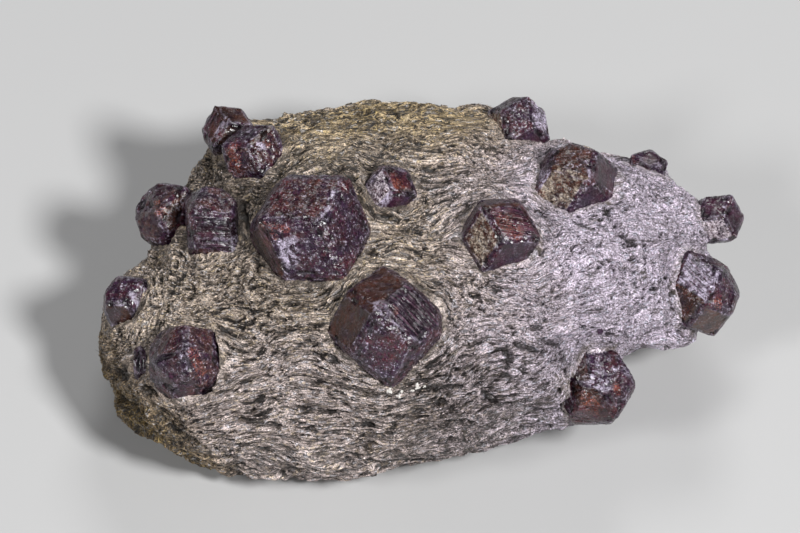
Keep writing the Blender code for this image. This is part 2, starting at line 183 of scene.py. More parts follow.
# What is special to a crystal. Its faces as seen: (around, out, tint, growth, direction of their lines
# as an angle in the picture). Marks on it: (what, from, to, reach), with places from the crystal's
# centre. Corners that are broken off or worn: (around, out, distance from the crystal's centre).
Look = namedtuple("Look", "faces marks cuts", defaults=((), ()))
USUAL_FACE = (PLUM, ETCHED, 0)
# Kinds of mark: orange, rusty patches; pale, pale lines along edges and ridges, partly scuffing and partly
# painted highlight; coat, mica lying on a crystal, and on the largest crystal a painted highlight in the
# mica's colour
MARK_KINDS = ("orange", "pale", "coat")
LOOKS = {
    "garnet_top_left_dark": Look(
        faces=(
            (110, 51, BROWN, PLAIN, 20), (157, 47, BROWN, LINED, 60), (72, 38, BROWN, PLAIN, -10),
            (-39, 72, BROWN, PLAIN, 0),
        ),
        marks=(("pale", (-0.6, 2.8), (-3.4, -2.0), 0.28),),
    ),
    "garnet_top_left_red": Look(
        faces=(
            (-166, 56, RUSTY, ETCHED, 80), (29, 63, RUSTY, ETCHED, 70), (86, 54, BROWN, PLAIN, 0),
            (-90, 20, BROWN, ETCHED, 0),
        ),
        marks=(
            ("orange", (-4.4, 1.6), (-4.0, -3.5), 1.7), ("pale", (-1.6, 2.9), (1.2, 2.0), 0.7),
            ("orange", (2.0, 3.2), (2.6, 2.4), 0.8),
        ),
        cuts=((-120, 30, 5.2),),
    ),
    "garnet_left_rim": Look(
        faces=((117, 36, RUSTY, ETCHED, 30), (-160, 46, RUSTY, PLAIN, 80), (11, 74, BROWN, ETCHED, 75)),
        marks=(("orange", (-2.6, 2.2), (-1.6, 1.0), 1.7), ("pale", (-2.2, -1.2), (-0.6, -5.0), 0.4)),
        cuts=((-70, 40, 5.7), (150, 30, 5.6)),
    ),
    "garnet_left_front": Look(
        faces=(
            (76, 42, RUSTY, ETCHED, -12), (-75, 76, PURPLE, STEPPED, -2), (162, 30, BROWN, PLAIN, 85),
            (-93, 47, BROWN, PLAIN, 0),
        ),
        marks=(("coat", (4.4, -3.0), (4.6, -6.0), 1.5), ("pale", (-1.8, -2.9), (2.4, -2.7), 0.5)),
    ),
    "garnet_largest": Look(
        faces=(
            (101, 50, RUSTY, ETCHED, 8), (-115, 67, PURPLE, ETCHED, -20), (7, 45, PLUM, ETCHED, -80),
            (-143, 41, BROWN, LINED, -66), (-153, 13, BROWN, RIDGED, -66), (-26, 70, PLUM, ETCHED, -68),
        ),
        marks=(
            # The coats on the lower left face and at its foot are a painted highlight in the colour of mica,
            # and the pale lines are painted highlights along edges
            ("coat", (-5.6, -2.4), (-4.6, -6.6), 1.1), ("pale", (-3.6, -2.6), (-3.8, -5.4), 1.5),
            ("coat", (-4.0, -9.6), (-3.6, -10.0), 0.8), ("orange", (6.6, -9.4), (6.8, -9.6), 0.9),
            ("orange", (-9.4, 1.8), (-6.8, -1.0), 0.8), ("orange", (-7.6, 1.2), (-4.6, 0.4), 0.9),
            ("pale", (4.4, 7.8), (3.4, 4.4), 0.5), ("pale", (3.4, 4.4), (1.2, 1.6), 0.35),
        ),
    ),
    "garnet_large_lower": Look(
        faces=(
            (101, 30, BROWN, PLAIN, 10), (23, 52, PURPLE, RIDGED, -37), (-99, 58, PURPLE, ETCHED, -60),
            (174, 35, BROWN, PLAIN, 60), (70, 48, PLUM, RIDGED, -37), (136, 38, BROWN, PLAIN, 20),
        ),
        marks=(
            ("pale", (-2.2, 3.9), (-0.6, 3.2), 1.2), ("orange", (0.9, 3.8), (1.5, 3.0), 0.8),
            ("pale", (0.8, 1.2), (6.8, -3.6), 0.22), ("pale", (-3.6, -2.0), (-5.0, -5.4), 0.22),
        ),
    ),
    "garnet_mica_coated": Look(
        faces=(
            (172, 61, COATED, ETCHED, 0), (43, 52, RED, PLAIN, -30), (-64, 51, PURPLE, PLAIN, 0),
            (-113, 72, PLUM, PLAIN, 0),
        ),
        marks=(("coat", (-3.2, 1.2), (-1.8, -1.0), 2.5), ("orange", (1.4, 1.6), (2.4, 0.6), 1.2)),
    ),
    "garnet_middle_right": Look(
        faces=(
            (49, 58, RED, LINED, -3), (-60, 47, PURPLE, PLAIN, 0), (-169, 58, OLIVE_TINGED, ETCHED, 40),
            (76, 34, BROWN, PLAIN, 0), (37, 30, RED, LINED, -60),
        ),
        marks=(("orange", (0.5, 3.0), (3.2, 0.4), 1.7), ("coat", (-4.4, 1.0), (-4.2, -3.0), 1.2)),
    ),
    "garnet_top_rim": Look(
        faces=(
            (98, 73, PURPLE, ETCHED, 0), (-180, 29, OLIVE_TINGED, ETCHED, 60), (19, 28, SILVERY, ETCHED, 70),
            (-56, 46, PLUM, PLAIN, 20),
        ),
        marks=(("coat", (3.4, 2.0), (3.6, -0.5), 0.9),),
    ),
    "garnet_upper_right": Look(
        faces=(
            (92, 42, BROWN, ETCHED, 0), (-160, 64, OLIVE_TINGED, ETCHED, 40), (-52, 42, PURPLE, PLAIN, -50),
            (20, 26, PLUM, PLAIN, 60), (126, 65, OLIVE_TINGED, ETCHED, 0),
        ),
        marks=(("coat", (-5.6, 1.5), (-5.0, -4.5), 1.8), ("pale", (2.6, 4.5), (3.0, 1.6), 0.3)),
    ),
    "garnet_buried_rim": Look(
        faces=((76, 45, PLUM, PLAIN, 0), (33, 62, PURPLE, PLAIN, 0)),
        marks=(("orange", (-2.6, 2.4), (-2.2, 2.0), 0.8),),
    ),
    "garnet_right_tip": Look(
        faces=((103, 56, PURPLE, PLAIN, -20), (-94, 63, COATED, ETCHED, 0), (9, 40, PURPLE, PLAIN, 0)),
        marks=(("coat", (-1.4, -1.6), (1.0, -3.0), 1.7), ("pale", (1.2, 2.4), (1.6, 1.4), 0.4)),
    ),
    "garnet_right_edge": Look(
        faces=(
            (107, 59, SILVERY, LINED, -52), (171, 63, BROWN, ETCHED, 40), (-149, 43, BROWN, ETCHED, 40),
            (-73, 31, BROWN, PLAIN, 0), (3, 43, PLUM, ETCHED, 60), (43, 63, SILVERY, ETCHED, -50),
        ),
        marks=(("orange", (3.0, -1.6), (3.2, -2.6), 1.0), ("pale", (0.4, 1.2), (2.0, -0.6), 0.5)),
    ),
    "garnet_broken": Look(
        faces=(
            (60, 40, SHEENY, ETCHED, 60), (-120, 65, BROWN, SHELLED, 30), (10, 49, PLUM, SHELLED, 70),
            (110, 49, BROWN, SHELLED, 40), (-100, 25, RED, SHELLED, 10), (-30, 73, PLUM, SHELLED, -30),
        ),
        marks=(
            ("orange", (-2.2, -2.0), (0.6, -5.0), 1.6), ("orange", (4.4, 1.0), (4.8, -1.6), 0.8),
            ("pale", (0.0, 2.6), (2.4, 0.6), 1.3),
        ),
        cuts=((70, 62, 5.6), (-75, 62, 6.0), (-165, 40, 6.2)),
    ),
    "garnet_left_end": Look(
        faces=((-8, 58, SHEENY, LINED, 80), (121, 54, PLUM, ETCHED, 40), (-128, 51, BROWN, PLAIN, -40)),
        marks=(("pale", (0.4, 2.4), (3.4, -3.6), 0.45),),
        cuts=((-100, 50, 4.7),),
    ),
    "garnet_lower_left": Look(
        faces=(
            (127, 37, RUSTY, ETCHED, 0), (50, 35, RUSTY, ETCHED, 0), (-144, 54, PLUM, ETCHED, 80),
            (-33, 51, RUSTY, ETCHED, 80),
        ),
        marks=(("orange", (1.6, 2.6), (3.2, -1.0), 1.3), ("pale", (-0.6, 2.0), (0.6, -0.6), 0.4)),
        cuts=((-138, 25, 5.9), (-48, 20, 6.6), (142, 20, 6.6), (-95, 35, 5.9), (20, 20, 6.9)),
    ),
    "garnet_sliver": Look(faces=((-62, 90, PURPLE, LINED, 90),)),
}


# Helpers for meshes

def read_vectors(items, name):
    flat = np.empty(len(items) * 3, np.float32)
    items.foreach_get(name, flat)
    return flat.reshape(-1, 3)


def vertex_places(mesh):
    return read_vectors(mesh.vertices, "co").astype(float) / MM


def vertex_normals(mesh):
    return read_vectors(mesh.vertex_normals, "vector").astype(float)


def face_corners(mesh):
    """The vertices of each triangle of a mesh that has only triangles."""
    corners = np.empty(len(mesh.loops), np.int32)
    mesh.loops.foreach_get("vertex_index", corners)
    return corners.reshape(-1, 3)


def move_vertices(mesh, places):
    mesh.vertices.foreach_set("co", (places * MM).astype(np.float32).ravel())
    mesh.update()


def new_mesh(name, places, triangles):
    mesh = bpy.data.meshes.new(name)
    mesh.vertices.add(len(places))
    mesh.loops.add(triangles.size)
    mesh.loops.foreach_set("vertex_index", triangles.ravel().astype(np.int32))
    mesh.polygons.add(len(triangles))
    mesh.polygons.foreach_set("loop_start", np.arange(0, triangles.size, 3, dtype=np.int32))
    move_vertices(mesh, places)
    mesh.update(calc_edges=True)
    return mesh


def add_attribute(mesh, name, values, domain="POINT"):
    """Gives the mesh a number or three numbers for each vertex or face corner."""
    one = values.ndim == 1
    attribute = mesh.attributes.new(name, "FLOAT" if one else "FLOAT_VECTOR", domain)
    attribute.data.foreach_set("value" if one else "vector", values.astype(np.float32).ravel())


def add_bake_map(mesh, places):
    """Gives the mesh a map: a place in a flat picture for each corner of its faces."""
    layer = mesh.uv_layers.new(name="OFBake")
    layer.uv.foreach_set("vector", places.astype(np.float32).ravel())


def weigh_vertices(piece, name, weights):
    group = piece.vertex_groups.new(name=name)
    for vertex, weight in enumerate(weights.tolist()):
        group.add((vertex,), weight, "REPLACE")


def add_object(name, data):
    made = bpy.data.objects.new(name, data)
    bpy.context.scene.collection.objects.link(made)
    return made


def add_piece(name, mesh, material, replaced=()):
    piece = add_object(name, mesh)
    mesh.materials.clear()
    mesh.materials.append(material)
    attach(piece, "root")
    if replaced:
        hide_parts(*replaced)
    return piece


def apply_modifiers(piece):
    graph = bpy.context.evaluated_depsgraph_get()
    mesh = bpy.data.meshes.new_from_object(piece.evaluated_get(graph))
    piece.modifiers.clear()
    piece.data = mesh
    piece.vertex_groups.clear()
    return mesh


# Helpers for numbers

def smooth_step(share):
    share = np.clip(share, 0.0, 1.0)
    return share * share * (3 - 2 * share)


def rise(value, start, span):
    """0 up to a start, 1 from a span further on, and smooth between."""
    return smooth_step((value - start) / span)


def columns(*values):
    return np.stack(values, axis=1)


def noise_at(places):
    """A noise from -1 to 1. A number added to the places keeps it apart from other noises."""
    return np.array([noise.noise(place) for place in places.tolist()])


def rough_noise(places, octaves=3):
    return np.array([noise.fractal(place, 1.0, 2.1, octaves) for place in places.tolist()])


def lengths(vectors):
    return np.linalg.norm(vectors, axis=-1)


def unit(vectors):
    return vectors / np.maximum(lengths(vectors)[..., None], 1e-9)


def dots(a, b):
    return (a * b).sum(axis=-1)


def direction_seen(around, out):
    around, out = math.radians(around), math.radians(out)
    flat = math.cos(around) * RIGHT + math.sin(around) * UP
    return math.cos(out) * flat + math.sin(out) * TOWARD


def line_distance(seen, start, end):
    """How far each place in the picture is from a line, and how far along the line it lies, from 0 to 1."""
    start, end = np.array(start), np.array(end)
    way = end - start
    share = np.clip((seen - start) @ way / (way @ way), 0, 1)
    return lengths(seen - start - share[:, None] * way), share


def seen_place(places):
    """Across and up in the picture, from its middle."""
    return columns(places @ RIGHT - VIEW_MIDDLE[0], places @ UP - VIEW_MIDDLE[1])


# The crystals, as the frame holds them

Crystal = namedtuple("Crystal", "name normals distances polygons centre radius")


def read_crystal(name):
    shape = bmesh.new()
    shape.from_mesh(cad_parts[name].data)
    bmesh.ops.remove_doubles(shape, verts=shape.verts, dist=0.01 * MM)
    flat = math.radians(0.5)
    bmesh.ops.dissolve_limit(shape, angle_limit=flat, verts=shape.verts, edges=shape.edges)
    shape.normal_update()
    polygons = [np.array([vert.co for vert in face.verts]) / MM for face in shape.faces]
    normals = np.array([face.normal for face in shape.faces])
    distances = np.array([(corners @ normal).mean() for corners, normal in zip(polygons, normals)])
    centre = np.mean([vert.co for vert in shape.verts], axis=0) / MM
    radius = (3 * shape.calc_volume() / (4 * math.pi)) ** (1 / 3) / MM
    shape.free()
    return Crystal(name, normals, distances, polygons, centre, radius)


CRYSTALS = [read_crystal(name) for name in sorted(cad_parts) if name.startswith("garnet")]


def beyond(crystal, places):
    """How far each place lies outside a crystal, and the face that it lies over."""
    over = places @ crystal.normals.T - crystal.distances
    face = over.argmax(axis=1)
    return over[np.arange(len(places)), face], face


def nearest_crystal(places, reach):
    """How far each place is from the crystals, up to a reach, and the way out of the nearest."""
    nearest = np.full(len(places), reach)
    away = np.zeros_like(places)
    for crystal in CRYSTALS:
        near = np.flatnonzero(lengths(places - crystal.centre) < 1.6 * crystal.radius + reach)
        distance, face = beyond(crystal, places[near])
        closer = distance < nearest[near]
        nearest[near[closer]] = distance[closer]
        away[near[closer]] = crystal.normals[face[closer]]
    return nearest, away


# The folia, which bend round the crystals

def folia_wave(places):
    """How far the folia's wandering moves each place, which is least in the front band."""
    moved = np.zeros_like(places)
    for reach, span in FOLIA_WAVES:
        moved += reach * columns(*(noise_at(places / span + shift) for shift in (3.1, 17.4, 41.9)))
    front = rise(-seen_place(places)[:, 1], 12, 14)
    return moved * (1 - 0.6 * front)[:, None]


def bent_folia(crystal, places):
    """The way of each place from a crystal's middle, and how strongly the crystal bends the folia there."""
    offset = places - crystal.centre
    return offset, (crystal.radius / np.maximum(lengths(offset), crystal.radius)) ** 3


def folia_coordinates(places):
    """(along, across, level): the place of each row in the schist's own grain, in millimetres."""
    places = places + folia_wave(places)
    along, across, level = (places @ axis for axis in (FOLIA_ALONG, FOLIA_ACROSS, FOLIA_OUT))
    for crystal in CRYSTALS:
        offset, share = bent_folia(crystal, places)
        along = along + FOLIA_STRETCH * share * (offset @ FOLIA_ALONG)
        across = across - FOLIA_BEND * share * (offset @ FOLIA_ACROSS)
        level = level - FOLIA_BEND * share * (offset @ FOLIA_OUT)
    return columns(along, across, level)


def folia_directions(places):
    """The way that the flakes run at each place, and the way out of their layers."""
    step = 0.5
    along = np.tile(FOLIA_ALONG, (len(places), 1))
    along = along - (folia_wave(places + step * FOLIA_ALONG) - folia_wave(places)) / step
    out = np.tile(FOLIA_OUT, (len(places), 1))
    for crystal in CRYSTALS:
        offset, share = bent_folia(crystal, places)
        outward, share = unit(offset), share[:, None]
        stretch = FOLIA_ALONG - 3 * outward * (outward @ FOLIA_ALONG)[:, None]
        along = along + FOLIA_STRETCH * share * stretch
        out = out - share * (FOLIA_OUT - 3 * outward * (outward @ FOLIA_OUT)[:, None])
    return unit(along), unit(out)


# The schist

def colour_zones(places):
    """(lilac, olive, ochre): how much of each tint the stone has at each place."""
    across, up = seen_place(places).T
    wander = 8 * rough_noise(places / 15, 2)
    behind = smooth_step((14 + 0.5 * wander - places @ TOWARD) / 18)
    lilac = rise(across + wander, -2, 40) * (1 - 0.8 * behind)
    lilac = lilac + 0.3 * smooth_step((-10 - up + 0.5 * wander) / 12) * (1 - lilac)
    olive = rise(up + 0.6 * wander, 18, 14) * (1 - rise(across + wander, 8, 34))
    ochre = rise(-across - 0.9 * up + 0.5 * wander, 64, 14)
    return columns(lilac, olive * (1 - 0.85 * behind), ochre)


def left_middle(places):
    """1 on the stone between the crystals at the left, and 0 away from there."""
    across, up = seen_place(places).T
    return rise(-across, 26, 10) * rise(up, -18, 8) * (1 - rise(up, 3, 7))


def strand_tone(grain, places):
    """How pale the strand of folia at each place is, about 0 on the whole, and less in the front band, which
    is given painted shade.
    """
    tone = sum(share * noise_at(grain / spans) for share, spans in STRANDS)
    across, up = seen_place(places).T
    # Painted shade: the lower front band, toward the right, is made darker
    tone = tone - 0.36 * rise(-up, 10, 12) * rise(across, -12, 24)
    upper = rise(up, 6, 10) * (1 - rise(up, 18, 8))
    return tone - 0.05 - 0.14 * upper * (1 - rise(across, 6, 20)) + 0.15 * left_middle(places)


def ledges(grain, spacing, height):
    """Steps where a layer ends: each rises slowly and drops fast, and comes and goes along its length."""
    along, across, level = grain.T
    bed = level / spacing + 0.6 * noise_at(grain / (8, 6, 9) + spacing)
    number, share = np.floor(bed), bed - np.floor(bed)
    strength = np.clip(0.5 + noise_at(columns(along / 11, across / 7, number * 3.7)), 0, 1)
    risen = np.where(share < 0.8, smooth_step(share / 0.8), smooth_step((1 - share) / 0.2))
    return height * (strength * risen - 0.3)


def broken_layers(grain, thickness, length, depth):
    """How far each layer stands out where the stone broke across it."""
    along, across, level = grain.T
    layer = level / thickness + 0.4 * noise_at(grain / 7 + thickness)
    number, share = np.floor(layer), layer - np.floor(layer)

    def outset(number):
        return noise_at(columns(along / length, across / length, number * 5.3))

    next_one = rise(share, 0.7, 0.3)
    return depth * (outset(number) * (1 - next_one) + outset(number + 1) * next_one)


def crevices(places):
    """(depth, dark): how deep the crevices are at each place, and how dark, which is painted shade in them.
    """
    seen = seen_place(places)
    depth, dark = np.zeros(len(places)), np.zeros(len(places))
    wander = 0.5 * rough_noise(places / 1.6 + 7.7, 3)
    for start, end, half_width, deepest in CREVICES:
        distance, share = line_distance(seen, start, end)
        half = half_width * (0.2 + np.sqrt(np.clip(4 * share * (1 - share), 0, 1)))
        closeness = smooth_step(1.5 - (distance + wander) / half)
        depth = np.maximum(depth, deepest * closeness)
        # Painted shade in the crevices
        dark = np.maximum(dark, CREVICE_SHADE * closeness)
    return depth, dark


def stone_relief(grain, places, outward):
    """(height, pit, tone): how far each place stands out, how dark it is from dark pits and from painted
    shade in crevices and hollows, and how pale.
    """
    tone = strand_tone(grain, places)
    swell = sum(most * rough_noise(places / span + 5.1 * i, 2) for i, (most, span) in enumerate(SWELLS))
    side = 1 - rise(np.abs(outward @ FOLIA_OUT), 0.45, 0.35)
    steps = sum(ledges(grain, *ledge) for ledge in LEDGES)
    broken = sum(broken_layers(grain, *layers) for layers in BROKEN_LAYERS)
    strands = STRAND_RELIEF[0] * noise_at(grain / STRAND_RELIEF[1]) + PALE_RISE * tone
    fine = FINE_RELIEF[0] * noise_at(grain / FINE_RELIEF[1] + 9.3)
    lilac = colour_zones(places)[:, 0]
    cluster = PIT_CLUSTERS[0] * noise_at(places / PIT_CLUSTERS[1] + 13.3)
    cluster = cluster - 0.13 * lilac + 0.12 * left_middle(places)
    lens = noise_at(grain / PIT_SPANS + 27.1)
    pit_and_shade = rise(lens + 0.4 * np.clip(-tone, 0, 0.3) + cluster, 0.32, 0.08)
    depth, dark = crevices(places)
    small = strands + fine + 0.6 * steps + 0.5 * side * broken
    # Painted shade in the hollows of the small relief
    hollow_shade = 0.7 * smooth_step((-0.35 - small) / 0.5)
    height = swell + (1 - side) * steps + side * broken + strands + fine - PIT_DEPTH * pit_and_shade - depth
    return height, np.maximum(np.maximum(pit_and_shade, dark), hollow_shade), tone


def lumps(places):
    """How far the stone is heaped up at each place on the side that is seen."""
    seen = seen_place(places)
    height = np.zeros(len(places))
    for spot, reach, most in LUMPS:
        height += most * smooth_step(1 - lengths(seen - spot) / (2 * reach))
    return height * rise(places @ TOWARD, 0, 8)


def close_on_crystals(places):
    """Places near a crystal, drawn in against it so that no gap shows."""
    distance, away = nearest_crystal(places, CLOSE_REACH)
    return places - away * (CLOSE_BY * smooth_step(1.4 * (1 - distance / CLOSE_REACH)))[:, None]


def smooth_stone(material):
    """The stone, smoothed, and how open each of its vertices lies: 0 in a socket, 1 away from them."""
    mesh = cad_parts["schist"].data.copy()
    piece = add_piece("schist_block", mesh, material, ("schist",))
    voxels = piece.modifiers.new("voxels", "REMESH")
    voxels.mode = "VOXEL"
    voxels.voxel_size = STONE_VOXEL * MM
    mesh = apply_modifiers(piece)
    open_face = rise(nearest_crystal(vertex_places(mesh), 2.0)[0], 0.7, 0.8)
    weigh_vertices(piece, "open face", open_face)
    smoothing = piece.modifiers.new("smoothing", "SMOOTH")
    smoothing.factor = 0.5
    smoothing.iterations = SMOOTHING
    smoothing.vertex_group = "open face"
    apply_modifiers(piece)
    return piece, open_face


def merge_faces(piece, hidden):
    """Fewer and larger faces, most of all where they are hidden."""
    weigh_vertices(piece, "hidden", LEAST_HIDDEN + (1 - LEAST_HIDDEN) * hidden)
    triangles_now = 2 * len(piece.data.polygons)
    fewer = piece.modifiers.new("fewer faces", "DECIMATE")
    fewer.ratio = STONE_FACES / triangles_now
    fewer.use_collapse_triangulate = True
    fewer.vertex_group = "hidden"
    fewer.vertex_group_factor = HIDDEN_FIRST
    return apply_modifiers(piece)


def make_stone(material):
    piece, open_face = smooth_stone(material)
    mesh = piece.data
    places, outward = vertex_places(mesh), vertex_normals(mesh)
    grain = folia_coordinates(places)
    height, pit_and_shade, tone = stone_relief(grain, places, outward)
    hug = 1 - rise(nearest_crystal(places, HUG_REACH)[0], 0, HUG_REACH)
    add_attribute(mesh, "grain", grain)
    add_attribute(mesh, "zone", colour_zones(places))
    # Dark pits with painted shade in crevices and hollows, nearness to a crystal, and how pale the strand is
    add_attribute(mesh, "wear", columns(pit_and_shade, hug, tone))
    hidden = 1 - rise(nearest_crystal(places, 1.0)[0], 0.3, 0.3)
    hidden = np.maximum(hidden, 0.5 * (places[:, 2] < 1))

    resting = rise(places[:, 2], 0, 1.5)
    places = places + outward * (height * resting * (0.25 + 0.75 * open_face) + lumps(places))[:, None]
    places = close_on_crystals(places)
    places[:, 2] = np.maximum(places[:, 2], 0)
    move_vertices(mesh, places)
    mesh = merge_faces(piece, hidden)
    add_bake_map(mesh, stone_map(mesh))
    return piece


def stone_map(mesh):
    """A map of the stone's upper half above one of its lower half, each a disc drawn out square."""
    corners = face_corners(mesh)
    places = vertex_places(mesh)
    low, high = places.min(axis=0), places.max(axis=0)
    ways = unit((places - (low + high) / 2) / (high - low))[corners]
    half = np.where(ways[:, :, 2].sum(axis=1) > 0, 1.0, -1.0)[:, None]
    reach = np.sqrt(np.clip(1 - ways[:, :, 2] * half, 0, 2))
    x, y = ways[:, :, 0], ways[:, :, 1]
    wide = np.abs(x) > np.abs(y)
    turn = np.where(wide, np.arctan2(y, np.abs(x)), np.arctan2(x, np.abs(y))) * 4 / math.pi
    right = reach * np.where(wide, np.sign(x), turn)
    up = reach * np.where(wide, turn, np.sign(y))
    return np.stack((0.5 + 0.46 * right, 0.5 + 0.25 * half + 0.23 * up), axis=2)


# Materials

# The mix node's sockets for colours, whose names its other sockets have too
MIX_INPUTS = (6, 7)
MIX_OUTPUT = 2


class Value:
    """A number, vector or colour that a material works out for each point, and the sums made of it."""

    def __init__(self, recipe, socket):
        self.recipe = recipe
        self.socket = socket

    def __add__(self, other):
        return self.recipe.maths("ADD", self, other)

    def __sub__(self, other):
        return self.recipe.maths("SUBTRACT", self, other)

    def __rsub__(self, other):
        return self.recipe.maths("SUBTRACT", other, self)

    def __mul__(self, other):
        return self.recipe.maths("MULTIPLY", self, other)

    __rmul__ = __mul__

    def or_more(self, other):
        """The greater of two numbers."""
        return self.recipe.maths("MAXIMUM", self, other)


class Recipe:
    """A material and the few kinds of node that these materials are made of."""

    def __init__(self, name):
        self.material = bpy.data.materials.new(name)
        self.material.use_nodes = True
        self.tree = self.material.node_tree
        self.shader = self.tree.nodes["Principled BSDF"]

    def feed(self, socket, value):
        """Links a value to a socket, or sets the socket to a number, vector or colour."""
        if isinstance(value, Value):
            self.tree.links.new(value.socket, socket)
        elif value is not None:
            socket.default_value = value

    def node(self, kind, output, inputs, **settings):
        """What comes out of a new node. What goes in is given by the name or number of its socket."""
        made = self.tree.nodes.new("ShaderNode" + kind)
        for name, value in settings.items():
            setattr(made, name, value)
        for name, value in inputs.items():
            self.feed(made.inputs[name], value)
        return Value(self, made.outputs[output])

    def maths(self, operation, a, b, kind="Math", output=0):
        return self.node(kind, output, {0: a, 1: b}, operation=operation)

    def attribute(self, name):
        return self.node("Attribute", "Vector", {}, attribute_name=name)

    def parts(self, vector):
        """The three numbers of a vector."""
        first = self.node("SeparateXYZ", 0, {"Vector": vector})
        return [Value(self, output) for output in first.socket.node.outputs]

    def three(self, name):
        """The three numbers that a mesh holds under a name."""
        return self.parts(self.attribute(name))

    def stretched(self, vector, spans, shift=0.0):
        """The vector divided by a span for each axis, so that a pattern gets that size."""
        scale = [1 / span for span in spans]
        return self.node("Mapping", 0, {"Vector": vector, "Scale": scale, "Location": (shift,) * 3})

    def place(self):
        """The place in the frame, in millimetres."""
        return self.stretched(self.node("TexCoord", "Object", {}), (MM, MM, MM))

    def noise(self, vector, scale=1.0, detail=2.0, roughness=0.5):
        inputs = {"Vector": vector, "Scale": scale, "Detail": detail, "Roughness": roughness}
        return self.node("TexNoise", "Fac", inputs)

    def streaks(self, vector, spans, detail, roughness, shift=0.0):
        """A noise that is drawn out along the axes of its vector."""
        return self.noise(self.stretched(vector, spans, shift), 1.0, detail, roughness)

    def cells(self, vector, output="Color"):
        return self.node("TexVoronoi", output, {"Vector": vector, "Scale": 1.0})

    def facets(self, vector):
        """(height, random number) of small flat facets, each tilted its own way."""
        tints = self.cells(vector)
        from_middle = self.maths("SUBTRACT", vector, self.cells(vector, "Position"), "VectorMath")
        tilt = self.maths("SUBTRACT", tints, (0.5, 0.5, 0.5), "VectorMath")
        return self.maths("DOT_PRODUCT", from_middle, tilt, "VectorMath", "Value"), self.parts(tints)[0]

    def between(self, value, low, high):
        """0 where the value is under low, 1 over high, and smooth between."""
        inputs = {"Value": value, "From Min": low, "From Max": high}
        return self.node("MapRange", "Result", inputs, interpolation_type="SMOOTHSTEP")

    def ramp(self, value, *stops):
        """A colour, or a grey given as one number, for each of some values, and blends between."""
        blended = self.node("ValToRGB", "Color", {"Fac": value})
        elements = blended.socket.node.color_ramp.elements
        for place, _ in stops[1:-1]:
            elements.new(place)
        for element, (place, colour) in zip(elements, stops):
            element.position = place
            element.color = (*(colour if isinstance(colour, tuple) else (colour,) * 3), 1)
        return blended

    def mix(self, share, first, second, blend="MIX"):
        """A blend of two colours, each a value or three numbers."""
        pair = [(*colour, 1) if isinstance(colour, tuple) else colour for colour in (first, second)]
        inputs = {"Factor": share, **dict(zip(MIX_INPUTS, pair))}
        return self.node("Mix", MIX_OUTPUT, inputs, data_type="RGBA", blend_type=blend)

    def shaded(self, tint, value, *stops, share=1.0):
        """A tint made darker and brighter by a value, with a factor for each of its stops."""
        return self.mix(share, tint, self.ramp(value, *stops), "MULTIPLY")

    def bump(self, height, strength, depth, before=None):
        inputs = {"Height": height, "Strength": strength, "Distance": depth * MM, "Normal": before}
        return self.node("Bump", "Normal", inputs)

    def finish(self, colour, roughness, normal=None):
        """The material, once its surface has been given all of these."""
        for name, value in (("Base Color", colour), ("Roughness", roughness), ("Normal", normal)):
            self.feed(self.shader.inputs[name], value)
        return self.material


def from_photo_colour(red, green, blue):
    """A colour given as the photograph shows it, from 0 to 255, in the numbers that shaders use."""
    shares = (red / 255, green / 255, blue / 255)
    return tuple(s / 12.92 if s <= 0.04045 else ((s + 0.055) / 1.055) ** 2.4 for s in shares)


SILVER = from_photo_colour(190, 174, 160)
LILAC = from_photo_colour(194, 182, 197)
OLIVE = from_photo_colour(172, 151, 112)
OCHRE = from_photo_colour(136, 114, 74)
GOLD = from_photo_colour(196, 172, 104)
STEEL = from_photo_colour(166, 174, 188)
BIOTITE = from_photo_colour(30, 26, 25)
STAIN = from_photo_colour(62, 54, 46)
QUARTZ_GREY = from_photo_colour(180, 174, 172)
QUARTZ_WHITE = from_photo_colour(244, 240, 234)
GARNET_PURPLE = from_photo_colour(46, 25, 40)
GARNET_BROWN = from_photo_colour(60, 36, 28)
GARNET_RED = from_photo_colour(84, 38, 31)
GARNET_ORANGE = from_photo_colour(132, 69, 45)
GARNET_BLUE = from_photo_colour(44, 38, 60)
GARNET_ROSE = from_photo_colour(124, 86, 106)
# The colour of painted glints: specks of highlight painted onto the crystals
PAINTED_GLINT = from_photo_colour(198, 192, 210)
MICA_COAT = from_photo_colour(182, 172, 192)
OLIVE_COAT = from_photo_colour(152, 138, 116)
GARNET_IOR = 1.62

# How bright mica is by its random number for brightness
STONE_SHADES = ((0.25, (0.06, 0.055, 0.05)), (0.42, (0.42, 0.4, 0.38)), (0.56, 0.95), (0.8, 1.6))
MUSCOVITE_SHADES = ((0.0, (0.12, 0.11, 0.1)), (0.45, 0.75), (1.0, 1.7))
BIOTITE_SHADES = ((0.0, (0.02, 0.018, 0.018)), (1.0, (0.12, 0.11, 0.1)))


def zoned_colour(recipe):
    """The stone's tint from its zones."""
    lilac, olive, ochre = recipe.three("zone")
    tint = recipe.mix(lilac, SILVER, LILAC)
    tint = recipe.mix(olive, tint, OLIVE)
    return recipe.mix(ochre, tint, OCHRE)


def flecked(recipe, tint, number):
    """A tint with a few golden and a few steel-blue flakes, by a random number for each flake."""
    lilac = recipe.three("zone")[0]
    tint = recipe.mix(recipe.between(number, 0.86, 0.90) * (0.36 - 0.32 * lilac), tint, GOLD)
    return recipe.mix(0.45 * recipe.between(number, 0.16, 0.12), tint, STEEL)


def lifted(recipe, number):
    """A random number for brightness, raised where the stone is lilac, which is paler and plainer."""
    lilac = recipe.three("zone")[0]
    return number * (1.0 - 0.36 * lilac) + 0.27 * lilac


def grained(recipe, tint, grains, dark, bright, share=1.0):
    """A tint that is darker and brighter from grain to grain, by a fine noise."""
    return recipe.shaded(tint, grains, (0.36, dark), (0.64, bright), share=share)


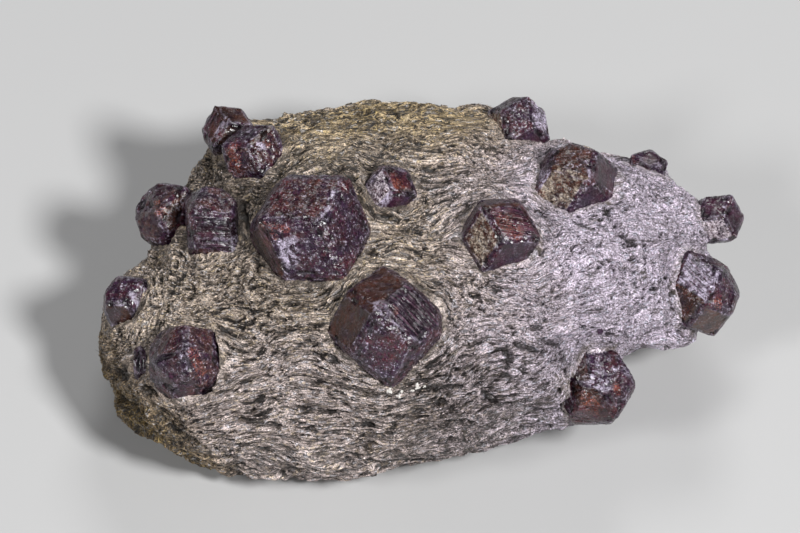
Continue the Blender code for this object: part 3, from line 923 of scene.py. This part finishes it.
def schist_material():
    recipe = Recipe("schist")
    between = recipe.between
    grain = recipe.attribute("grain")
    pit_and_shade, hug, tone = recipe.three("wear")
    plain = 1.0 - 0.2 * recipe.three("zone")[0]
    slope, number = recipe.facets(recipe.stretched(grain, (1.4, 0.28, 0.28)))
    other = recipe.cells(recipe.stretched(grain, (0.8, 0.3, 0.3), 5.3))
    fibres = recipe.streaks(grain, (3.0, 0.24, 0.24), 3.0, 0.65, 1.9)
    stains = recipe.streaks(grain, (8.0, 0.7, 0.6), 3.0, 0.62)
    threads = recipe.streaks(grain, (3.5, 0.18, 0.18), 2.0, 0.6, 3.7)
    # The strand tone carries painted shade in the lower front band
    shade = 0.3 * number + 0.7 * fibres + 0.03 + 0.5 * tone

    tint = flecked(recipe, zoned_colour(recipe), recipe.parts(other)[1])
    tint = recipe.shaded(tint, lifted(recipe, shade), *STONE_SHADES)
    tint = recipe.mix(between(stains, 0.54, 0.66) * plain, tint, STAIN)
    tint = recipe.mix(between(threads, 0.54, 0.6) * plain, tint, BIOTITE)
    # Dark pits, and painted shade in crevices and hollows, in the colour of biotite
    tint = recipe.mix(0.95 * pit_and_shade, tint, BIOTITE)
    tint = recipe.mix(0.22 * between(hug, 0.4, 1.0), tint, SILVER)
    tint = grained(recipe, tint, recipe.noise(recipe.place(), 3.2, 2.0, 0.6), 0.36, 1.6)

    normal = recipe.bump(slope, 0.7, 0.4)
    normal = recipe.bump(fibres, 0.7, 0.3, normal)
    normal = recipe.bump(stains, 0.7, 0.6, normal)
    return recipe.finish(tint, recipe.ramp(number, (0.0, 0.6), (1.0, 0.35)), normal)


def flake_material(name, shades, smoothest):
    recipe = Recipe(name)
    shade, number, _ = recipe.three("flake")
    place = recipe.place()
    grains = recipe.noise(place, 3.2, 2.0, 0.6)
    tint = flecked(recipe, zoned_colour(recipe), number)
    tint = recipe.shaded(tint, lifted(recipe, shade), *shades)
    tint = recipe.mix(recipe.between(grains, 0.54, 0.74), tint, STAIN)
    tint = grained(recipe, tint, recipe.noise(place, 4.0, 1.0, 0.6), 0.4, 1.6)
    roughness = recipe.ramp(number, (0.0, smoothest), (0.5, 0.45))
    return recipe.finish(tint, roughness, recipe.bump(grains, 0.4, 0.12))


def quartz_material():
    recipe = Recipe("quartz")
    cloudy = recipe.noise(recipe.place(), 2.2, 3.0, 0.6)
    tint = recipe.ramp(cloudy, (0.34, QUARTZ_GREY), (0.52, QUARTZ_WHITE))
    return recipe.finish(tint, 0.3, recipe.bump(cloudy, 0.8, 0.3))


class GarnetRecipe(Recipe):
    """The garnets' material: the crystal itself, what lies on it, painted highlight specks and edges, and
    its grooves and grains with painted shade in them.
    """

    def __init__(self):
        super().__init__("garnet")
        self.growth, self.spot = self.attribute("growth"), self.place()
        self.etched, self.lined, _ = self.three("finish")
        self.broad = self.noise(self.spot, 0.3, 3.0, 0.6)
        self.patchy = self.noise(self.spot, 0.8, 4.0, 0.6)
        self.grains = self.noise(self.spot, 3.5, 2.0, 0.55)
        self.lines = self.streaks(self.growth, (6.0, 0.36, 1.0), 2.0, 0.6)
        self.slope, self.number = self.facets(self.stretched(self.growth, (0.6, 0.42, 1.0)))

    def patch(self, amount, low, high):
        """An amount broken into patches: none where it is 0, and all where it is 1."""
        return self.between(amount + 1.8 * (self.patchy - 0.5), low, high)

    def crystal(self, red, brown, orange):
        """The tint of the crystal itself."""
        between, mix = self.between, self.mix
        warmth = self.noise(self.stretched(self.spot, (1.0, 1.0, 1.0), 7.3), 0.3, 3.0, 0.62)
        tint = mix(self.patch(brown, 0.2, 0.8), GARNET_PURPLE, GARNET_BROWN)
        tint = mix(self.patch(0.85 * red, 0.2, 1.5), tint, GARNET_RED)
        tint = mix(between(warmth, 0.48, 0.68) * (0.4 * self.etched), tint, GARNET_RED)
        tint = mix(0.36 * between(warmth, 0.5, 0.38), tint, GARNET_BLUE)
        glowing = self.patch(orange, 0.5, 1.4) * between(self.grains, 0.38, 0.62)
        tint = mix(0.8 * glowing, tint, GARNET_ORANGE)
        tint = self.shaded(tint, self.broad, (0.3, 0.5), (0.7, (1.5, 1.4, 1.45)))
        tint = self.shaded(tint, self.number, (0.0, 0.7), (1.0, 1.3))
        return mix(0.35 * (between(self.lines, 0.52, 0.62) * self.lined), tint, GARNET_ROSE)

    def covered(self, tint, brown, coat, marked, scuffs_and_highlights):
        """The tint with painted highlight specks, coats of mica, and pale edge marks that are partly
        scuffing and partly painted highlight.
        """
        between, mix = self.between, self.mix
        sparks = self.noise(self.spot, 2.4, 3.0, 0.6)
        # Painted glints: specks of highlight painted into the colour, most on etched faces
        painted_glints = between(sparks, 0.54, 0.62) * between(self.patchy, 0.47, 0.58)
        tint = mix(painted_glints * (0.5 * self.etched + 0.02), tint, PAINTED_GLINT)
        coats = self.patch(coat, 0.4, 1.0).or_more(self.patch(marked, 0.45, 1.3))
        tint = mix(coats * between(sparks, 0.38, 0.54), tint, mix(brown, MICA_COAT, OLIVE_COAT))
        # Pale scuffing and painted highlight on edges and ridges, in the mica's colour
        return mix(0.7 * (scuffs_and_highlights * between(self.patchy, 0.45, 0.58)), tint, MICA_COAT)

    def worn_and_shaded(self, tint, groove, height):
        """The tint with painted shade in the grooves and low places, and fine grains."""
        # Painted shade: darker in grooves, between fine lines and where the relief sinks
        low = groove.or_more(self.between(self.lines, 0.56, 0.42) * self.lined)
        low = low.or_more(self.between(height, 0.0, -0.35))
        tint = self.shaded(tint, low, (0.0, 1.15), (1.0, (0.25, 0.22, 0.25)))
        return grained(self, tint, self.grains, 0.36, 1.75, 0.65 * self.etched + 0.35)

    def relief(self):
        """The fine unevenness of the faces."""
        rugged = self.between(self.broad, 0.4, 0.6) * (self.etched + 0.1) + 0.1
        normal = self.bump(self.lines * (self.lined + 0.1), 1.0, 0.2)
        normal = self.bump(self.patchy * (self.etched + 0.2), 1.0, 0.16, normal)
        normal = self.bump(self.slope * rugged, 1.0, 0.28, normal)
        return self.bump(self.grains * (self.etched + 0.1), 1.0, 0.03, normal)


def garnet_material():
    recipe = GarnetRecipe()
    red, brown, coat = recipe.three("tint")
    orange, pale, marked = recipe.three("marks")
    edge, groove, height = recipe.three("wear")
    # Paler along every edge and under the pale marks: partly scuffing, partly a painted highlight on the
    # edges and ridges
    scuffs_and_highlights = pale.or_more(0.36 * recipe.between(edge, 0.75, 1.0))
    tint = recipe.crystal(red, brown, orange)
    tint = recipe.covered(tint, brown, coat, marked, scuffs_and_highlights)
    tint = recipe.worn_and_shaded(tint, groove, height)
    recipe.shader.inputs["IOR"].default_value = GARNET_IOR
    return recipe.finish(tint, recipe.ramp(recipe.patchy, (0.35, 0.17), (0.7, 0.42)), recipe.relief())


# Mica flakes

def surface_samples(mesh, count, seed, weight):
    """Random places on a mesh, more where it weighs more, with the way out of its surface at each."""
    corners = face_corners(mesh)
    places, normals = vertex_places(mesh), vertex_normals(mesh)
    a, b, c = (places[corners[:, i]] for i in range(3))
    area = lengths(np.cross(b - a, c - a)) * weight[corners].mean(axis=1)
    rng = np.random.default_rng(seed)
    chosen = rng.choice(len(corners), count, p=area / area.sum())
    u, v = rng.random(count), rng.random(count)
    flip = u + v > 1
    u[flip], v[flip] = 1 - u[flip], 1 - v[flip]
    spots = a[chosen] + u[:, None] * (b - a)[chosen] + v[:, None] * (c - a)[chosen]
    outward = unit(normals[corners[chosen]].mean(axis=1))
    return spots, outward, rng


def flake_mesh(name, centres, long_way, out_way, sizes, looks, zones, rng):
    """Closed thin slivers with four corners each, thickest in the middle."""
    count, rim = len(centres), 4
    side_way = np.cross(out_way, long_way)
    angles = (np.arange(rim) + rng.uniform(-0.28, 0.28, (count, rim))) * (math.tau / rim)
    reach = rng.uniform(0.7, 1.0, (count, rim))
    rim_places = (
        centres[:, None]
        + (np.cos(angles) * reach * sizes[:, :1])[..., None] * long_way[:, None]
        + (np.sin(angles) * reach * sizes[:, 1:2])[..., None] * side_way[:, None]
    )
    top = centres + out_way * sizes[:, 2:3]
    bottom = centres - out_way * sizes[:, 2:3]
    places = np.concatenate((rim_places, top[:, None], bottom[:, None]), axis=1).reshape(-1, 3)
    places[:, 2] = np.maximum(places[:, 2], 0)
    corner = np.arange(rim)
    after = (corner + 1) % rim
    tip = np.full(rim, rim)
    plate = np.concatenate((columns(corner, after, tip), columns(after, corner, tip + 1)))
    triangles = (plate[None] + (np.arange(count) * (rim + 2))[:, None, None]).reshape(-1, 3)
    mesh = new_mesh(name, places, triangles)
    add_bake_map(mesh, flake_map(plate, count, rim))
    add_attribute(mesh, "flake", np.repeat(looks, rim + 2, axis=0))
    add_attribute(mesh, "zone", np.repeat(zones, rim + 2, axis=0))
    return mesh


def flake_map(plate, count, rim):
    """A small square for each flake, with its upper and its lower side next to each other."""
    fan = np.array(((0, 0), (1, 0), (1, 1), (0, 1), (0.5, 0.5), (0.5, 0.5)))[plate]
    fan[:, :, 0] += np.repeat((0.0, 1.2), rim)[:, None]
    squares = math.ceil(math.sqrt(count))
    cell = columns(np.arange(count) % squares, np.arange(count) // squares)
    return (cell[:, None, None] + 0.06 + 0.88 * fan / (2.2, 1.0)) / squares


def flake_weights(stone, flakes):
    """Where flakes lie: not in pits, less on the underside, and in the strands and zones of their kind."""
    places = vertex_places(stone)
    distance = nearest_crystal(places, 1.0)[0]
    pit_and_shade, _, tone = read_vectors(stone.attributes["wear"].data, "vector").T
    lilac = colour_zones(places)[:, 0]
    return (
        rise(distance, -0.15, 0.3)
        * (0.2 + 0.8 * rise(places[:, 2], 0, 12))
        * (1 - 0.95 * pit_and_shade)
        * (1 - (1 - flakes.lilac_share) * lilac)
        * (1 - 0.85 * abs(flakes.dark) * smooth_step(0.5 + flakes.dark * tone / 0.3))
    )


def scatter_flakes(stone, flakes, material):
    """Flakes that lie in the folia, set into the stone so that only an edge or a face stands out."""
    spots, outward, rng = surface_samples(stone, flakes.count, flakes.seed, flake_weights(stone, flakes))
    along, layer_out = folia_directions(spots)
    layer_out = layer_out * np.sign(dots(layer_out, outward))[:, None]
    out_way = unit(0.7 * outward + 0.3 * layer_out + rng.normal(0, FLAKE_TILT, spots.shape))
    loose = 0.2 + 0.24 * rise(seen_place(spots)[:, 1], -24, 14)
    long_way = along + loose[:, None] * rng.normal(0, 1, spots.shape)
    long_way = unit(long_way - out_way * dots(long_way, out_way)[:, None])
    size = np.exp(rng.normal(0, FLAKE_SPREAD, (flakes.count, 2)))
    thickness = np.full(flakes.count, flakes.depth)
    sizes = columns(flakes.length * size[:, 0], flakes.width * size[:, 1], thickness) / 2
    sunk = 0.5 * sizes[:, 0] * lengths(np.cross(out_way, outward))
    centres = spots - outward * (0.8 * sunk - FLAKE_LIFT)[:, None]
    looks = rng.random((flakes.count, 3))
    tone = strand_tone(folia_coordinates(spots), spots)
    # Flakes are darker on dark strands and in the painted shade of the lower front band
    looks[:, 0] = np.clip(0.55 + 1.0 * (looks[:, 0] - 0.5) + 0.6 * tone, 0, 1)
    mesh = flake_mesh(flakes.name, centres, long_way, out_way, sizes, looks, colour_zones(centres), rng)
    return add_piece(flakes.name, mesh, material)


# The garnets

def buried(crystal, places, tree):
    """Whether each place on a crystal's surface lies well inside the stone."""
    deeper = places + BURIED_DEPTH * unit(places - crystal.centre)
    found = []
    for place in deeper.tolist():
        surface, outward, _, _ = tree.find_nearest(place)
        found.append((Vector(place) - surface).dot(outward) < 0)
    return np.array(found)


def edge_points(crystal, start, end, tree):
    """Points from the start of an edge to just before its end, alike from both of its faces."""
    length = np.linalg.norm(end - start)
    middle = np.array((start, (start + end) / 2, end))
    step = BURIED_STEP if buried(crystal, middle, tree).all() else FACE_STEP
    count = max(1, round(length / step))
    return [start + (end - start) * i / count for i in range(count)]


def inner_points(corners, rng):
    """Points in rows, a little scattered, well inside a flat outline."""
    low, high = corners.min(axis=0), corners.max(axis=0)
    rows = np.arange(low[1], high[1], FACE_STEP * math.sqrt(3) / 2)
    x, y = np.meshgrid(np.arange(low[0], high[0], FACE_STEP), rows)
    x = x + (np.arange(len(rows)) % 2)[:, None] * FACE_STEP / 2
    spots = columns(x.ravel(), y.ravel())
    spots = spots + rng.uniform(-0.12, 0.12, spots.shape) * FACE_STEP
    inside = np.full(len(spots), True)
    for start, end in zip(corners, np.roll(corners, -1, axis=0)):
        way = unit(end - start)
        inside &= (spots - start) @ (-way[1], way[0]) > 0.5 * FACE_STEP
    return spots[inside]


def face_triangles(crystal, corners, outward, tree, rng):
    """A face of a crystal, filled with triangles that are fine where it stands out of the stone."""
    origin = corners[0]
    right = unit(corners[1] - origin)
    over = np.cross(outward, right)

    def flat(places):
        return columns((places - origin) @ right, (places - origin) @ over)

    def raised(spots):
        return origin + spots[:, :1] * right + spots[:, 1:] * over

    rim = []
    for start, end in zip(corners, np.roll(corners, -1, axis=0)):
        rim += edge_points(crystal, start, end, tree)
    spots = inner_points(flat(corners), rng)
    if len(spots):
        spots = spots[~buried(crystal, raised(spots), tree)]
    points = [Vector(place) for place in np.concatenate((flat(np.array(rim)), spots)).tolist()]
    loop = [(i, (i + 1) % len(rim)) for i in range(len(rim))]
    filled = delaunay_2d_cdt(points, loop, [], 1, 1e-6)
    return raised(np.array([tuple(place) for place in filled[0]])), np.array(filled[2])


def fine_crystal(crystal, tree):
    """The crystal's surface as one closed mesh, still flat-faced."""
    rng = np.random.default_rng(SEED)
    places, triangles, count = [], [], 0
    for corners, outward in zip(crystal.polygons, crystal.normals):
        spots, faces = face_triangles(crystal, corners, outward, tree, rng)
        places.append(spots)
        triangles.append(faces + count)
        count += len(spots)
    mesh = new_mesh(crystal.name, np.concatenate(places), np.concatenate(triangles))
    shape = bmesh.new()
    shape.from_mesh(mesh)
    bmesh.ops.remove_doubles(shape, verts=shape.verts, dist=0.004 * MM)
    bmesh.ops.recalc_face_normals(shape, faces=shape.faces[:])
    shape.to_mesh(mesh)
    shape.free()
    return mesh


def face_looks(crystal):
    """For each face of a crystal: its tint, its growth and the way that its lines run."""
    count = len(crystal.normals)
    tints, growths = (np.tile(np.array(usual), (count, 1)) for usual in USUAL_FACE[:2])
    lines = np.full(count, float(USUAL_FACE[2]))
    for around, out, tint, growth, line in LOOKS[crystal.name].faces:
        face = (crystal.normals @ direction_seen(around, out)).argmax()
        tints[face], growths[face], lines[face] = tint, growth, math.radians(line)
    ways = np.cos(lines)[:, None] * RIGHT + np.sin(lines)[:, None] * UP
    ways = unit(ways - crystal.normals * dots(ways, crystal.normals)[:, None])
    return tints, growths, ways


def cut_corners(crystal, places):
    """Places on a crystal, with its broken corners cut off flat."""
    for around, out, distance in LOOKS[crystal.name].cuts:
        way = direction_seen(around, out)
        beyond_cut = np.maximum((places - crystal.centre) @ way - distance, 0)
        places = places - beyond_cut[:, None] * way
    return places


def crystal_relief(crystal, places, growths, ways):
    """How far each place on a crystal moves out, how near it is to an edge, and how deep in a groove."""
    over = places @ crystal.normals.T - crystal.distances
    nearest = np.sort(over, axis=1)
    face = over.argmax(axis=1)
    inner = smooth_step((nearest[:, -1] - nearest[:, -2]) / EDGE_REACH)
    height, spacing, rough, turning, _ = growths[face].T
    along = dots(places, ways[face])
    across = dots(places, np.cross(crystal.normals[face], ways[face]))
    step = across / spacing + turning * noise_at(places / 6 + 4.4)
    number, share = np.floor(step), step - np.floor(step)
    strength = np.clip(0.6 + noise_at(columns(along / 7, number * 3.1, face * 5.3)), 0, 1.2)
    ridge = np.where(share < STEP_PEAK, share / STEP_PEAK, (1 - share) / (1 - STEP_PEAK))
    steps = height * strength * (ridge - 0.5)
    pitting = rough * rough_noise(places / PITTING_SPAN + 8.8, 3)
    swell = FACE_SWELL[0] * noise_at(places / FACE_SWELL[1] + 2.2)
    chips = CHIPS[0] * rise(noise_at(places / CHIPS[1] + 6.5), 0.12, 0.3)
    worn_and_shaded = (EDGE_WEAR + chips) * (1 - inner)
    groove = np.clip(height / 0.25, 0.1, 1) * (1 - ridge) * np.clip(1.5 * strength, 0, 1)
    return (steps + pitting) * (0.3 + 0.7 * inner) + swell - worn_and_shaded, 1 - inner, groove


def mark_shares(crystal, places):
    """How far each place is covered by each kind of mark."""
    shares = np.zeros((len(places), len(MARK_KINDS)))
    seen = seen_place(places) - seen_place(crystal.centre[None])
    facing = smooth_step(4 * ((places - crystal.centre) @ TOWARD) / crystal.radius)
    for what, start, end, reach in LOOKS[crystal.name].marks:
        kind = MARK_KINDS.index(what)
        share = smooth_step(1.5 - line_distance(seen, start, end)[0] / reach) * facing
        shares[:, kind] = np.maximum(shares[:, kind], share)
    return shares


def make_garnet(crystal, material, tree):
    mesh = fine_crystal(crystal, tree)
    tints, growths, ways = face_looks(crystal)
    places, outward = vertex_places(mesh), vertex_normals(mesh)
    relief, edge, groove = crystal_relief(crystal, places, growths, ways)
    covered = buried(crystal, places, tree)

    corners = face_corners(mesh)
    face = np.repeat(beyond(crystal, places[corners].mean(axis=1))[1], 3)
    spots, way = places[corners.ravel()], ways[face]
    grown = columns(dots(spots, way), dots(spots, np.cross(crystal.normals[face], way)), face * 11.3)
    etched, lined = growths[face, 2] / ETCHED.rough, growths[face, 4]
    add_attribute(mesh, "growth", grown, "CORNER")
    add_attribute(mesh, "tint", tints[face], "CORNER")
    add_attribute(mesh, "finish", columns(etched, lined, np.zeros(len(face))), "CORNER")
    add_attribute(mesh, "marks", mark_shares(crystal, places))
    # Nearness to an edge, whose paling is partly painted highlight, depth in a groove and height, which give
    # painted shade to grooves and low places
    add_attribute(mesh, "wear", columns(edge, groove, relief))

    places = cut_corners(crystal, places) + outward * (relief * ~covered)[:, None]
    places[:, 2] = np.maximum(places[:, 2], 0)
    move_vertices(mesh, places)
    mesh.set_sharp_from_angle(angle=CRISP_EDGE)
    return add_piece(crystal.name.replace("garnet", "crystal"), mesh, material, (crystal.name,))


# The small grains

def spot_seen(tree, place):
    """The spot on the stone that shows at a place in the picture."""
    middle = (VIEW_MIDDLE[0] + place[0]) * RIGHT + (VIEW_MIDDLE[1] + place[1]) * UP
    return np.array(tree.ray_cast(Vector(middle + TOWARD * VIEW_WIDTH), Vector(-TOWARD))[0])


def make_dot(crystal, material, tree):
    """A tiny crystal, of the shape of a given one, set into the stone."""
    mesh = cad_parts[crystal.name].data.copy()
    places = vertex_places(mesh) - crystal.centre
    move_vertices(mesh, places * DOT_RADIUS / crystal.radius + spot_seen(tree, DOT_PLACE))
    return add_piece("crystal_dot", mesh, material)


def make_quartz(material, tree):
    """Uneven grains of quartz, set into the stone."""
    shape = bmesh.new()
    for place, radius in QUARTZ:
        middle = spot_seen(tree, place) - QUARTZ_SUNK * radius * TOWARD
        for vert in bmesh.ops.create_icosphere(shape, subdivisions=3, radius=1.0)["verts"]:
            size = radius * (1 + 1.1 * noise.noise(1.5 * vert.co + Vector(middle)))
            vert.co = Vector(middle + size * np.array(vert.co)) * MM
    mesh = bpy.data.meshes.new("quartz_grains")
    shape.to_mesh(mesh)
    shape.free()
    return add_piece("quartz_grains", mesh, material)


# The camera, lamps and floor

def add_camera():
    data = bpy.data.cameras.new("camera")
    data.lens = LENS
    data.sensor_width = SENSOR
    camera = add_object("camera", data)
    distance = VIEW_WIDTH * LENS / SENSOR
    middle = VIEW_MIDDLE[0] * RIGHT + VIEW_MIDDLE[1] * UP
    camera.location = Vector((middle + TOWARD * distance) * MM)
    camera.rotation_euler = (math.pi / 2 - VIEW_RISE, 0, 0)
    bpy.context.scene.camera = camera


def add_lamp(name, around, above, distance, size, power):
    """A soft round lamp that faces the specimen."""
    data = bpy.data.lights.new(name, "AREA")
    data.shape = "DISK"
    data.size = size
    data.energy = power
    lamp = add_object(name, data)
    around, above = math.radians(around), math.radians(above)
    way = Vector((math.sin(around) * math.cos(above), -math.cos(around) * math.cos(above), math.sin(above)))
    lamp.location = way * distance
    lamp.rotation_euler = way.to_track_quat("Z", "Y").to_euler()


def add_floor():
    r = FLOOR_REACH
    mesh = bpy.data.meshes.new("floor")
    mesh.from_pydata([(-r, -r, 0), (r, -r, 0), (r, r, 0), (-r, r, 0)], [], [(0, 1, 2, 3)])
    floor = add_object("floor", mesh)
    recipe = Recipe("floor")
    place = recipe.node("TexCoord", "Object", {})
    tone = recipe.ramp(recipe.noise(place, 3.0, 1.0), (0.3, FLOOR_GREYS[0]), (0.7, FLOOR_GREYS[1]))
    mesh.materials.append(recipe.finish(tone, 0.8))


def add_world():
    world = bpy.data.worlds.new("studio")
    world.use_nodes = True
    background = world.node_tree.nodes["Background"]
    background.inputs["Color"].default_value = SKY
    background.inputs["Strength"].default_value = SKY_STRENGTH
    bpy.context.scene.world = world


def main():
    bpy.context.scene.view_settings.view_transform = "Standard"
    stone = make_stone(schist_material()).data
    micas = {
        "muscovite": flake_material("muscovite", MUSCOVITE_SHADES, 0.18),
        "biotite": flake_material("biotite", BIOTITE_SHADES, 0.25),
    }
    for flakes in FLAKES:
        scatter_flakes(stone, flakes, micas[flakes.mica])
    tree = BVHTree.FromPolygons(vertex_places(stone).tolist(), face_corners(stone).tolist())
    garnet = garnet_material()
    for crystal in CRYSTALS:
        make_garnet(crystal, garnet, tree)
    make_dot(CRYSTALS[0], garnet, tree)
    make_quartz(quartz_material(), tree)
    add_camera()
    add_floor()
    add_world()
    for lamp in LAMPS:
        add_lamp(*lamp)


main()
